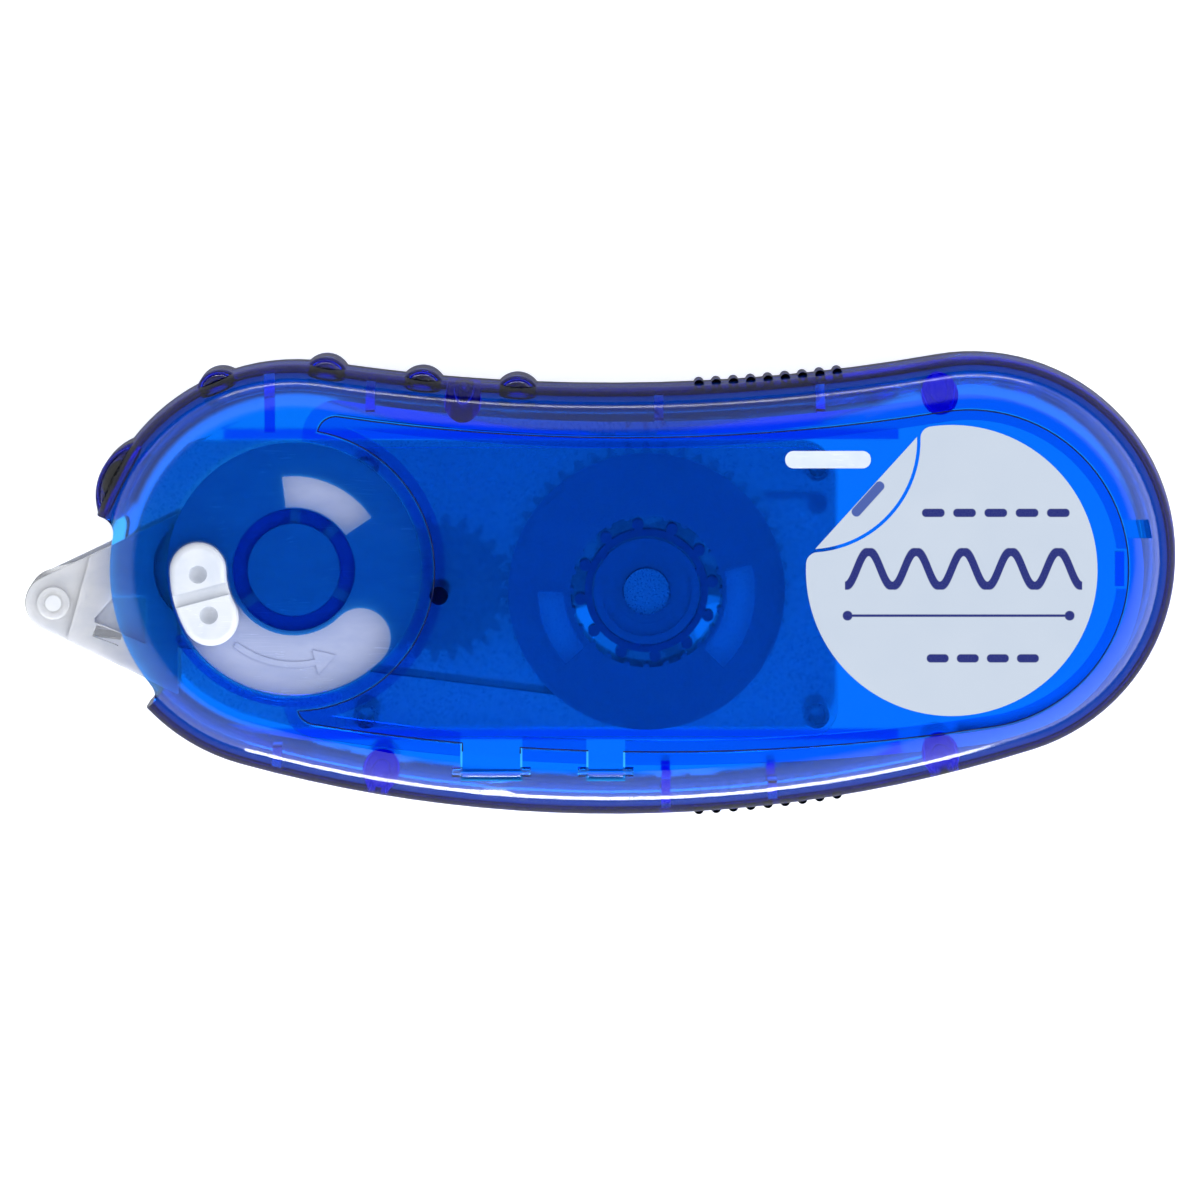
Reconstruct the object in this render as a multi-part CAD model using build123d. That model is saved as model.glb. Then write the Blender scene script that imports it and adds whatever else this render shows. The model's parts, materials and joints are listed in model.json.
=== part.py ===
"""Refillable tape roller in a bean-shaped two-shell case, lying on its back. Millimetres, +Z up.

The head sticks out at -X. A tape cartridge slides along X inside the case. A dial under the front
shell carries a pinion that drives a rack on the cartridge, so that turning the thumb knob through
the curved window draws the head into the case. A hinged door opens the case for a refill.
"""

from build123d import *
import os
from math import acos, asin, atan2, cos, degrees, hypot, pi, radians, sin, sqrt, tan

# ---- driving dimensions ----------------------------------------------------------------------

# case outline: two round ends, joined by a convex belly arc and a concave waist arc
nose_end = (-26.6, 1.5)
nose_end_radius = 17.9
tail_end = (32.3, 2.4)
tail_end_radius = 17.7
belly_radius = 122.0
waist_radius = 165.0

# case shells
wall = 1.3
edge_radius = 4.0
draft_angle = 2.5
seam_lip = 0.9
seam_tongue = 0.55
seam_clearance = 0.05
mouth_radius = 15.9
mouth_angles = (165.0, 223.5)
mouth_corner = 1.3
mouth_clearance = 0.25

# dial, its window and the thumb knob
dial = nose_end
dial_radius = 11.0
dial_thickness = 1.0
dial_recess_radius = 11.4
dial_recess_depth = 0.3
hub_outer_radius = 5.25
hub_wall = 1.2
hub_slot = 0.9
hub_slot_angles = (46.0, 88.0, 215.0, 332.0)
knob_orbit = 8.25
knob_width = 4.9
knob_start_angle = 180.0
knob_span = 29.6
knob_proud = 0.7
window_clearance = 0.15
dial_turn = 105.0
guard_rib_width = 0.7
guard_rib_angles = (210.0, 290.0)

# running clearances
shaft_clearance = 0.06
axial_gap = 0.2
slide_gap = 0.15

# tape and reels
tape_width = 8.4
tape_thickness = 0.14
supply_roll_radius = 9.75
supply_core_radius = 7.2
supply_flange_radius = 12.0
take_up_core_radius = 4.6
take_up_roll_radius = 5.6
take_up_flange_radius = 7.9
flange_thickness = 0.55
core_wall = 0.6

# gears, all of one module
gear_module = 0.5
pressure_angle = 20.0
backlash = 0.14
gear_thickness = 1.4
take_up_teeth = 27
idler_teeth = 24
supply_teeth = 48
pinion_teeth = 16
rack_teeth = 8

# shafts
supply_post_radius = 2.0
take_up_post_radius = 1.8
idler_axle_radius = 0.8
roller_axle_radius = 0.7

# cartridge plates
frame_plate_thickness = 1.0
cover_thickness = 1.0
cover_left = -22.4
cover_right = 20.5
plate_top = 12.0
plate_bottom = -13.1
spacer_radius = 1.1

# head
head_tip = (-47.5, -1.55)
roller_radius = 2.3
cheek_tip_radius = 2.4
cheek_thickness = 0.8
cheek_pad = 0.35
cheek_back = -36.7
cheek_back_top = 6.2
cheek_back_bottom = -9.4

# refill door
door_thickness = 1.2
door_tail_shift = (-0.5, -0.8)
door_inset = 3.9
door_top_radius = 170.0
door_top_heading = 99.3
door_bottom_radius = 190.0
door_bottom_heading = -81.3
door_gap = 0.15
door_corner = 1.6
door_left_top = -24.4
door_left_bottom = -26.4
ledge_width = 0.9
ledge_thickness = 0.8
hinge_line_below_edge = 1.75
hinge_barrel_radius = 0.6
hinge_pin_radius = 0.38
hinge_pin_length = 0.8
knuckles = ((-12.0, -7.0), (-1.1, 1.9))
latch_width = 3.0
nail_slot = (4.0, 1.6, 0.5)

# printed label on the door
label_centre = (30.3, 1.5)
label_radius = 12.6
label_thickness = 0.08
label_fold_angle = 137.8
label_fold_distance = 10.0
label_fold_depth = 2.65
label_fold_radius = 9.4
label_line = 0.3
label_corner = 1.0

# locating posts that join the shells
post_points = ((29.3, 16.5), (29.3, -14.2), (-12.0, 15.7), (-19.0, -15.6))
post_radius = 1.5
post_pin_radius = 0.8
post_pin_length = 3.0
post_pin_clearance = 0.03

# ---- levels along Z, from the back face --------------------------------------------------------

frame_low = wall + slide_gap
frame_high = frame_low + frame_plate_thickness
gear_low = frame_high + axial_gap
gear_high = gear_low + gear_thickness
reel_low = gear_high
tape_low = reel_low + flange_thickness + 0.05
tape_high = tape_low + tape_width
reel_high = tape_high + 0.05 + flange_thickness
cover_low = reel_high + axial_gap
cover_high = cover_low + cover_thickness
dial_low = cover_high + axial_gap
dial_high = dial_low + dial_thickness
depth = dial_high + axial_gap + wall
split = depth / 2
front_inner = depth - wall
knob_high = depth + knob_proud
cheek_low = tape_low - slide_gap - cheek_thickness
cheek_high = tape_high + slide_gap + cheek_thickness
mouth_low = cheek_low - 2 * mouth_clearance
mouth_high = cheek_high + cheek_pad + mouth_clearance
post_shoulder = split + seam_lip
hinge_level = depth - hinge_barrel_radius - 0.05

# ---- places that follow from the meshing of the gears -------------------------------------------

take_up_axis = dial
idler_heading = -10.5
supply_heading = 1.0


def polar(centre, radius, angle):
    """The point at that radius and angle, in degrees, from a centre."""
    return (centre[0] + radius * cos(radians(angle)), centre[1] + radius * sin(radians(angle)))


def pitch_radius(teeth):
    return gear_module * teeth / 2


idler_axis = polar(take_up_axis, pitch_radius(take_up_teeth) + pitch_radius(idler_teeth), idler_heading)
supply_axis = polar(idler_axis, pitch_radius(idler_teeth) + pitch_radius(supply_teeth), supply_heading)
rack_pitch_line = dial[1] - pitch_radius(pinion_teeth)
retraction = pitch_radius(pinion_teeth) * radians(dial_turn)

# ---- small helpers ------------------------------------------------------------------------------

STAND = (Align.CENTER, Align.CENTER, Align.MIN)


def rod(point, radius, low, high):
    """A round bar along Z."""
    return Pos(point[0], point[1], low) * Cylinder(radius, high - low, align=STAND)


def tube(point, inner, outer, low, high):
    """A ring along Z."""
    return rod(point, outer, low, high) - rod(point, inner, low - 1, high + 1)


def block(left, right, bottom, top, low, high):
    """A box given by its limits along X, Y and Z."""
    centre = ((left + right) / 2, (bottom + top) / 2, (low + high) / 2)
    return Pos(*centre) * Box(right - left, top - bottom, high - low)


def slab(face, low, high):
    """A flat outline given thickness between two levels."""
    return Pos(0, 0, low) * extrude(face, high - low, dir=(0, 0, 1))


def arc_band(centre, inner, outer, start, end):
    """A ring sector, with angles in degrees."""
    sweep = end - start
    outside = CenterArc(centre, outer, start, sweep)
    inside = CenterArc(centre, inner, start, sweep)
    sides = [Line(inside @ 0, outside @ 0), Line(outside @ 1, inside @ 1)]
    return make_face([outside, inside, *sides])


def circle_meeting(first, first_radius, second, second_radius):
    """The upper of the two points at those distances from two centres."""
    along = (second[0] - first[0], second[1] - first[1])
    apart = hypot(*along)
    reach = (first_radius**2 - second_radius**2 + apart**2) / (2 * apart)
    height = sqrt(first_radius**2 - reach**2)
    unit = (along[0] / apart, along[1] / apart)
    return (
        first[0] + reach * unit[0] - height * unit[1],
        first[1] + reach * unit[1] + height * unit[0],
    )


def away(start, through, distance):
    """The point at a distance from start, on the line towards another point."""
    reach = hypot(through[0] - start[0], through[1] - start[1])
    share = distance / reach
    return (start[0] + share * (through[0] - start[0]), start[1] + share * (through[1] - start[1]))


def joined(first, *others):
    """One shape out of several that touch or overlap."""
    shape = first
    for other in others:
        shape = shape + other
    return shape


# ---- case outline ---------------------------------------------------------------------------------


belly_centre = circle_meeting(
    nose_end, belly_radius - nose_end_radius, tail_end, belly_radius - tail_end_radius
)
waist_centre = circle_meeting(
    nose_end, waist_radius + nose_end_radius, tail_end, waist_radius + tail_end_radius
)


def bean(offset=0.0):
    """The case's outline, moved outwards by an offset. All its arcs keep their centres."""
    nose, tail = nose_end_radius + offset, tail_end_radius + offset
    nose_waist = away(nose_end, waist_centre, nose)
    tail_waist = away(tail_end, waist_centre, tail)
    nose_belly = away(nose_end, belly_centre, -nose)
    tail_belly = away(tail_end, belly_centre, -tail)
    waist_low = (waist_centre[0], waist_centre[1] - waist_radius + offset)
    belly_low = (belly_centre[0], belly_centre[1] - belly_radius - offset)
    return make_face(
        [
            ThreePointArc(nose_waist, polar(nose_end, nose, 180), nose_belly),
            ThreePointArc(nose_belly, belly_low, tail_belly),
            ThreePointArc(tail_belly, polar(tail_end, tail, 0), tail_waist),
            ThreePointArc(tail_waist, waist_low, nose_waist),
        ]
    )


def half_body(offset, height, corner):
    """Half of the case's body, up from the seam, with drafted sides and a round outer edge."""
    body = extrude(bean(offset), height, taper=draft_angle)
    return fillet(body.edges().group_by(Axis.Z)[-1], corner)


grip_bumps = (
    # place along the outline, how far it stands proud, radius of its crown
    (polar(nose_end, nose_end_radius, 153.0), nose_end, 0.85, 5.0),
    (polar(nose_end, nose_end_radius, 113.0), nose_end, 0.6, 2.1),
    (polar(nose_end, nose_end_radius, 80.5), nose_end, 0.6, 2.1),
)
waist_bump_angles = (264.4, 267.25)
waist_bump_crown = 2.1
bump_end_radius = 1.2


def side_bumps():
    """Upright grip bumps across the case's upper side."""
    places = [
        (away(centre, point, nose_end_radius + proud - crown), crown)
        for point, centre, proud, crown in grip_bumps
    ]
    waist_reach = waist_radius - 0.6 + waist_bump_crown
    places += [(polar(waist_centre, waist_reach, angle), waist_bump_crown) for angle in waist_bump_angles]
    shape = None
    for point, crown in places:
        bump = rod(point, crown, edge_radius - 0.8, depth - edge_radius + 0.8)
        bump = fillet(bump.edges().filter_by(GeomType.CIRCLE), bump_end_radius)
        shape = bump if shape is None else shape + bump
    return shape


fine_rib_count = 9
fine_rib_pitch = 1.5
fine_rib_radius = 0.45
fine_rib_first = 8.5


def fine_ribs():
    """Two rows of fine upright grip ribs, on the waist and on the belly."""
    shape = None
    for index in range(fine_rib_count):
        across = fine_rib_first + index * fine_rib_pitch
        waist_y = waist_centre[1] - sqrt(waist_radius**2 - (across - waist_centre[0]) ** 2)
        belly_y = belly_centre[1] - sqrt(belly_radius**2 - (across - belly_centre[0]) ** 2)
        for level in (waist_y - fine_rib_radius * 0.55, belly_y + fine_rib_radius * 0.55):
            rib = rod((across, level), fine_rib_radius, split - 3.0, split + 3.0)
            shape = rib if shape is None else shape + rib
    return shape


def mouth_cut():
    """What is cut away at the nose end, for the head to pass through."""
    outline = arc_band(nose_end, mouth_radius, nose_end_radius + 4, *mouth_angles)
    inner_corners = outline.vertices().sort_by_distance(nose_end)[:2]
    scoop = slab(fillet(inner_corners, mouth_corner), -1, depth + 1)
    passage = arc_band(nose_end, mouth_radius - 4, mouth_radius + 1, *mouth_angles)
    return scoop + slab(passage, mouth_low, mouth_high)


# ---- refill door: outline shared by the door and its opening ---------------------------------------


door_tail = (tail_end[0] + door_tail_shift[0], tail_end[1] + door_tail_shift[1])
door_tail_radius = tail_end_radius - door_inset


def door_face(offset=0.0):
    """The door's outline, moved outwards by an offset."""
    tail, top, bottom = door_tail_radius + offset, door_top_radius - offset, door_bottom_radius + offset
    top_centre = polar(door_tail, tail + top, door_top_heading)
    bottom_centre = polar(door_tail, tail - bottom, door_bottom_heading)
    top_touch = polar(door_tail, tail, door_top_heading)
    bottom_touch = polar(door_tail, tail, door_bottom_heading)
    left_top, left_bottom = door_left_top - offset, door_left_bottom - offset
    top_left = (left_top, top_centre[1] - sqrt(top**2 - (left_top - top_centre[0]) ** 2))
    bottom_left = (left_bottom, bottom_centre[1] - sqrt(bottom**2 - (left_bottom - bottom_centre[0]) ** 2))
    face = make_face(
        [
            Line(top_left, bottom_left),
            ThreePointArc(bottom_left, (bottom_centre[0], bottom_centre[1] - bottom), bottom_touch),
            ThreePointArc(bottom_touch, polar(door_tail, tail, 0), top_touch),
            ThreePointArc(top_touch, (top_centre[0], top_centre[1] - top), top_left),
        ]
    )
    corners = face.vertices().sort_by(Axis.X)[:2]
    face = fillet(corners, door_corner + offset)
    around_dial = Pos(*dial) * Circle(dial_recess_radius + guard_rib_width + 0.1 - offset)
    return (face - around_dial).faces().sort_by(SortBy.AREA)[-1]


def door_lowest():
    """How far down the door's outline reaches."""
    return door_face().bounding_box().min.Y


hinge_line = door_lowest() - hinge_line_below_edge


def knuckle_gap(first, last, grow):
    """The room that one hinge knuckle needs in the front shell."""
    return block(
        first - grow,
        last + grow,
        hinge_line - hinge_barrel_radius - grow,
        hinge_line + hinge_line_below_edge + 3.2,
        front_inner - ledge_thickness - 1,
        depth + 1,
    )


def hinge_pins(radius, extra):
    """The round stubs at both ends of each knuckle, along X."""
    shape = None
    for first, last in knuckles:
        for end, way in ((first, -1), (last, 1)):
            length = hinge_pin_length + extra
            stub = Pos(end + way * length / 2, hinge_line, hinge_level) * Rot(0, 90, 0) * Cylinder(radius, length)
            shape = stub if shape is None else shape + stub
    return shape


latch_place = polar(door_tail, door_tail_radius - 0.75, 0)


def latch_block(grow, low, high):
    """The latch tab under the door's tail end, or the slot for it."""
    half = latch_width / 2 + grow
    return block(
        latch_place[0] - 0.4 - grow, latch_place[0] + 0.4 + grow,
        latch_place[1] - half, latch_place[1] + half, low, high,
    )


# ---- case shells -------------------------------------------------------------------------------------


def seam_ring(outer_offset, inner_offset, height):
    return slab(bean(outer_offset) - bean(inner_offset), split, split + height)


def post_boss(point):
    return rod(point, post_radius + 0.1, post_shoulder, front_inner + 0.01)


def window_face(grow=0.0):
    """The curved window for the thumb knob, with round ends."""
    sweep = dial_turn + knob_span
    path = CenterArc(dial, knob_orbit, knob_start_angle, sweep)
    return SlotArc(path, knob_width + 2 * window_clearance + 2 * grow)


def make_front_shell():
    outer = Pos(0, 0, split) * half_body(0, depth - split, edge_radius)
    ribs = (side_bumps() + fine_ribs()) & block(-60, 60, -30, 30, split, depth)
    inner = Pos(0, 0, split) * half_body(-wall, depth - split - wall, edge_radius - wall)
    shell = outer + ribs - inner
    # inside: ledge under the door, dial hub, guard rib, stiffening ribs and bosses
    ledge = slab(door_face(1.2) - door_face(-ledge_width), front_inner - ledge_thickness, front_inner + 0.01)
    ledge = ledge - rod(dial, dial_radius + slide_gap, 0, depth)
    hub = tube(dial, hub_outer_radius - hub_wall, hub_outer_radius, dial_low + 0.4, front_inner + 0.01)
    for angle in hub_slot_angles:
        middle = polar(dial, hub_outer_radius, angle)
        slot = Pos(middle[0], middle[1], dial_low) * Rot(0, 0, angle) * Box(5, hub_slot, 3)
        hub = hub - slot
    guard_inner = dial_radius + slide_gap + 0.05
    guard = slab(
        arc_band(dial, guard_inner, guard_inner + guard_rib_width, *guard_rib_angles),
        dial_low - 0.1, front_inner + 0.01,
    )
    shell = joined(shell, ledge, hub, guard)
    for start, end in ((20, 31), (-4, 5), (-28, -18)):
        catch = arc_band(dial, guard_inner, guard_inner + guard_rib_width * 0.8, start, end)
        shell = shell + slab(catch, dial_low, front_inner + 0.01)
    keep_inside = Pos(0, 0, split) * half_body(-wall / 2, depth - split - wall / 2, edge_radius - wall / 2)
    for left, right, bottom, top in (
        (-29.1, -28.2, 13.4, 19.0), (-20.4, -19.6, 15.0, 19.0), (5.2, 6.0, -20.0, -16.6),
        (14.4, 15.2, -20.0, -16.6), (4.6, 5.4, 14.2, 18.5), (18.6, 19.4, 15.0, 19.0),
        (-28.4, -27.6, -18.0, -13.6),
    ):
        shell = shell + (block(left, right, bottom, top, front_inner - 2.2, depth) & keep_inside)
    for point in post_points:
        shell = shell + (post_boss(point) & keep_inside)
        hole_top = post_shoulder + post_pin_length + 0.3
        shell = shell - rod(point, post_pin_radius + post_pin_clearance, post_shoulder - 1, hole_top)
    # cuts from outside
    shell = shell - slab(door_face(door_gap), front_inner, depth + 1)
    shell = shell - rod(dial, dial_recess_radius, depth - dial_recess_depth, depth + 1)
    shell = shell - slab(window_face(), front_inner - 0.5, depth + 1)
    view_slot = arc_band(dial, hub_outer_radius + 0.2, hub_outer_radius + 2.9, 34, 97)
    shell = shell - slab(view_slot, front_inner - 0.5, depth + 1)
    for first, last in knuckles:
        shell = shell - knuckle_gap(first, last, 0.18)
    shell = shell - hinge_pins(hinge_pin_radius + 0.05, 0.1)
    shell = shell - latch_block(0.25, front_inner - 3, front_inner + 0.5)
    length, width, sink = nail_slot
    slot_left = door_tail[0] + door_tail_radius - 0.5
    nail = Pos(slot_left + length / 2, tail_end[1] + 2.7, depth) * Box(length, width, 2 * sink)
    shell = shell - nail - mouth_cut()
    shell = shell - seam_ring(-wall + seam_tongue + seam_clearance, -wall - 1.0, seam_lip + 0.1)
    return shell


rail_width = 0.9
rail_height = 1.6


def make_rear_shell():
    outer = half_body(0, split, edge_radius)
    inner = half_body(-wall, split - wall, edge_radius - wall)
    shell = Pos(0, 0, split) * mirror(outer - inner, Plane.XY)
    ribs = (side_bumps() + fine_ribs()) & block(-60, 60, -30, 30, 0, split)
    cavity = Pos(0, 0, split) * mirror(inner, Plane.XY)
    shell = shell + (ribs - cavity)
    # tongue along the seam, inside the front shell's wall
    shell = shell + slab(bean(-wall + seam_tongue) - bean(-wall), split, split + seam_lip)
    keep_inside = Pos(0, 0, split) * mirror(half_body(-wall / 2, split - wall / 2, edge_radius - wall / 2), Plane.XY)
    keep_inside = keep_inside + slab(bean(-wall - 0.2), split, depth)
    # straight rails along X that guide the cartridge's frame
    for bottom in (plate_top + slide_gap, plate_bottom - slide_gap - rail_width):
        rail = block(-33, 26, bottom, bottom + rail_width, wall - 0.1, wall + rail_height)
        shell = shell + (rail & keep_inside)
    for point in post_points:
        post = rod(point, post_radius, wall - 0.1, post_shoulder - 0.05)
        pin = rod(point, post_pin_radius, post_shoulder - 0.1, post_shoulder + post_pin_length)
        shell = shell + (post & keep_inside) + pin
    for left, right, bottom, top in ((5.2, 6.0, -20.0, -15.6), (14.4, 15.2, -20.0, -15.6), (18.6, 19.4, 14.4, 19.0)):
        shell = shell + (block(left, right, bottom, top, wall - 0.1, split - 0.3) & keep_inside)
    # a shallow round dish on the back face, under the dial
    dish = tube(dial, dial_radius - 0.6, dial_radius, -1, 0.25)
    return shell - mouth_cut() - dish


# ---- refill door -------------------------------------------------------------------------------------


def make_refill_door():
    door_low = depth - door_thickness
    door = slab(door_face(), door_low, depth)
    for first, last in knuckles:
        arm = block(first, last, hinge_line, hinge_line + hinge_line_below_edge + 3.0, door_low, depth)
        middle = (first + last) / 2
        barrel = Pos(middle, hinge_line, hinge_level) * Rot(0, 90, 0) * Cylinder(hinge_barrel_radius, last - first)
        door = door + arm + barrel
    door = door + hinge_pins(hinge_pin_radius, 0)
    return door + latch_block(0, front_inner - 1.3, door_low + 0.1)


def label_parts():
    """The round label, and the folded corner beside it across a curved line."""
    disc = Pos(*label_centre) * Circle(label_radius)
    fold = polar(label_centre, label_fold_distance, label_fold_angle)
    beyond = Pos(*fold) * Rot(0, 0, label_fold_angle) * Pos(10, 0) * Rectangle(20, 40)
    reach = label_fold_distance + label_fold_radius - label_fold_depth
    curl = polar(label_centre, reach, label_fold_angle)
    body = disc - Pos(*curl) * Circle(label_fold_radius + label_line)
    flap = Pos(*curl) * Circle(label_fold_radius) - beyond
    return body, flap & disc


def make_label():
    body, flap = label_parts()
    sheet = slab(body, depth, depth + label_thickness)
    sheet = fillet(sheet.edges().filter_by(Axis.Z), label_corner)
    return Compound(children=[sheet, slab(flap, depth, depth + label_thickness)])


# ---- gears -------------------------------------------------------------------------------------------


def involute(angle):
    return tan(angle) - angle


def gear_face(teeth, phase):
    """A spur gear's outline about the origin, one tooth centred at the phase, in degrees."""
    pitch = pitch_radius(teeth)
    base = pitch * cos(radians(pressure_angle))
    tip, root = pitch + 0.92 * gear_module, pitch - 1.2 * gear_module
    half_at_pitch = pi / (2 * teeth) - backlash / (2 * pitch)

    def half_angle(radius):
        lean = acos(min(1.0, base / radius))
        return half_at_pitch + involute(radians(pressure_angle)) - involute(lean)

    flank = [max(base, root), pitch, tip]
    points = []
    for index in range(teeth):
        middle = radians(phase) + 2 * pi * index / teeth
        sides = [(root, half_angle(flank[0]) + 0.01)] + [(radius, half_angle(radius)) for radius in flank[1:]]
        points += [(radius * cos(middle - half), radius * sin(middle - half)) for radius, half in sides]
        points += [(radius * cos(middle + half), radius * sin(middle + half)) for radius, half in reversed(sides)]
    return make_face(Polyline(*points, close=True))


def gear(axis, teeth, phase, low, high):
    return Pos(axis[0], axis[1], low) * extrude(gear_face(teeth, phase), high - low)


def meshed_phase(phase, teeth, other_teeth, heading):
    """The phase of a gear that meshes with one at the given phase, beside it at that heading."""
    return heading + 180 - (phase - heading) * teeth / other_teeth + 180 / other_teeth


supply_phase = 0.0
idler_phase = meshed_phase(supply_phase, supply_teeth, idler_teeth, supply_heading + 180)
take_up_phase = meshed_phase(idler_phase, idler_teeth, take_up_teeth, idler_heading + 180)

# ---- dial --------------------------------------------------------------------------------------------


def make_dial():
    """The disc under the window, its journal in the hub, and the pinion under it."""
    web = rod(dial, hub_outer_radius + 0.4, dial_low - 0.05, dial_low + 0.3)
    disc = tube(dial, hub_outer_radius + shaft_clearance, dial_radius, dial_low, dial_high)
    journal = rod(dial, hub_outer_radius - hub_wall - shaft_clearance, dial_low, dial_high - 0.1)
    pinion = gear(dial, pinion_teeth, 270, cover_low, dial_low)
    shape = joined(disc, web, journal, pinion)
    # a raised arrow that points the way the knob turns
    shaft = arc_band(dial, knob_orbit - 0.25, knob_orbit + 0.25, 232, 284)
    tip = polar(dial, knob_orbit, 296)
    barbs = [polar(dial, knob_orbit + side * 1.1, 283) for side in (-1, 1)]
    head = make_face(Polyline(tip, *barbs, close=True))
    return shape + slab(shaft, dial_high - 0.05, dial_high + 0.12) + slab(head, dial_high - 0.05, dial_high + 0.12)


def make_knob():
    """The pill-shaped thumb knob that stands on the dial and out through the window."""
    path = CenterArc(dial, knob_orbit, knob_start_angle, knob_span)
    body = slab(SlotArc(path, knob_width), dial_high, knob_high)
    body = fillet(body.edges().group_by(Axis.Z)[-1], 0.6)
    middle_angle = knob_start_angle + knob_span / 2
    middle = polar(dial, knob_orbit, middle_angle)
    groove = Pos(middle[0], middle[1], knob_high) * Rot(0, 0, middle_angle) * Box(knob_width + 2, 1.1, 0.9)
    body = body - groove
    for angle in (knob_start_angle + 2, knob_start_angle + knob_span - 2):
        place = polar(dial, knob_orbit, angle)
        body = body - Pos(place[0], place[1], knob_high) * Sphere(0.8)
    return body


# ---- cartridge ---------------------------------------------------------------------------------------


spacer_points = (
    (cover_left + 2.0, plate_bottom + 1.8),
    (cover_left + 2.0, plate_top - 1.8),
    (cover_right - 1.8, plate_bottom + 1.8),
    (cover_right - 1.8, plate_top - 1.8),
)


def make_cartridge_frame():
    """The rear plate, with the reel posts and the spacers that hold the cover."""
    middle = ((cheek_back + cover_right) / 2 - 2, (plate_top + plate_bottom) / 2)
    plate = Pos(*middle) * Rectangle(cover_right - cheek_back + 4, plate_top - plate_bottom)
    plate = fillet(plate.vertices().sort_by(Axis.X)[-2:], 3.0)
    plate = plate & bean(-wall - edge_radius * 0.6)
    window = arc_band(supply_axis, 5.0, 10.0, 200, 250) + arc_band(supply_axis, 5.0, 10.0, 300, 350)
    frame = slab(plate - window, frame_low, frame_high)
    frame = frame + rod(supply_axis, supply_post_radius, frame_low, cover_low - 0.05)
    frame = frame + rod(take_up_axis, take_up_post_radius, frame_low, reel_high - 0.3)
    frame = frame - rod(idler_axis, idler_axle_radius, 0, depth)
    for point in spacer_points:
        frame = frame + tube(point, spacer_radius - 0.35, spacer_radius, frame_high - 0.1, cover_low - 0.02)
    for point in foot_points:
        frame = frame - rod(point, foot_radius, 0, depth)
    return frame


def rack_face():
    """The rack arm under the pinion: a space between two teeth lies under the dial's axis."""
    pitch = pi * gear_module
    half = pitch / 4 - backlash / 2
    lean = tan(radians(pressure_angle))
    tip, root = 0.9 * gear_module, 1.25 * gear_module
    right_tooth = dial[0] + 1.5 * pitch
    points = []
    for index in range(rack_teeth):
        middle = right_tooth - (rack_teeth - 1 - index) * pitch
        for side, rise in ((-1, -root), (-1, tip), (1, tip), (1, -root)):
            points.append((middle + side * (half - rise * lean), rack_pitch_line + rise))
    left = points[0][0] - 0.4
    top = rack_pitch_line - root
    bottom = top - 2.2
    outline = [(left, bottom), (left, top), *points, (cover_left + 1, top), (cover_left + 1, bottom)]
    return make_face(Polyline(*outline, close=True))


def make_cartridge_cover():
    """The front plate, which carries the rack arm and holds the idler's axle."""
    plate = Pos((cover_left + cover_right) / 2, (plate_top + plate_bottom) / 2) * Rectangle(
        cover_right - cover_left, plate_top - plate_bottom
    )
    plate = fillet(plate.vertices(), 2.5)
    sweep_room = Pos(dial[0], dial[1]) * Circle(pitch_radius(pinion_teeth) + 1.0)
    slots = arc_band(supply_axis, 7.0, 9.4, -45, 15) + arc_band(supply_axis, 7.2, 9.4, 180, 222)
    cover = slab(plate - slots - sweep_room, cover_low, cover_high)
    cover = cover + slab(rack_face(), cover_low, cover_high)
    # a raised ring over the supply reel, and a blind seat for the post under it
    cover = cover + tube(supply_axis, 4.2, 4.8, cover_high - 0.05, cover_high + 0.15)
    cover = cover - rod(supply_axis, 2.7, cover_high - 0.3, depth)
    return cover - rod(idler_axis, idler_axle_radius, 0, depth)


def make_idler_axle():
    return rod(idler_axis, idler_axle_radius, frame_low, cover_high)


foot_points = ((-38.2, -1.4), (-37.8, 3.7), (-37.8, -5.5))
foot_radius = 0.9


def cheek_face(tip_radius, tip, back):
    """A cheek's outline: round at the tip and wide where it enters the case."""
    upper, lower = (back, cheek_back_top), (back, cheek_back_bottom)

    def touch(corner, side):
        """Where the edge from a back corner meets the tip's arc."""
        reach = hypot(tip[0] - corner[0], tip[1] - corner[1])
        heading = degrees(atan2(corner[1] - tip[1], corner[0] - tip[0]))
        return polar(tip, tip_radius, heading + side * degrees(acos(tip_radius / reach)))

    top, bottom = touch(upper, 1), touch(lower, -1)
    return make_face(
        [
            ThreePointArc(top, polar(tip, tip_radius, 180), bottom),
            Line(bottom, lower),
            Line(lower, upper),
            Line(upper, top),
        ]
    )


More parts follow.
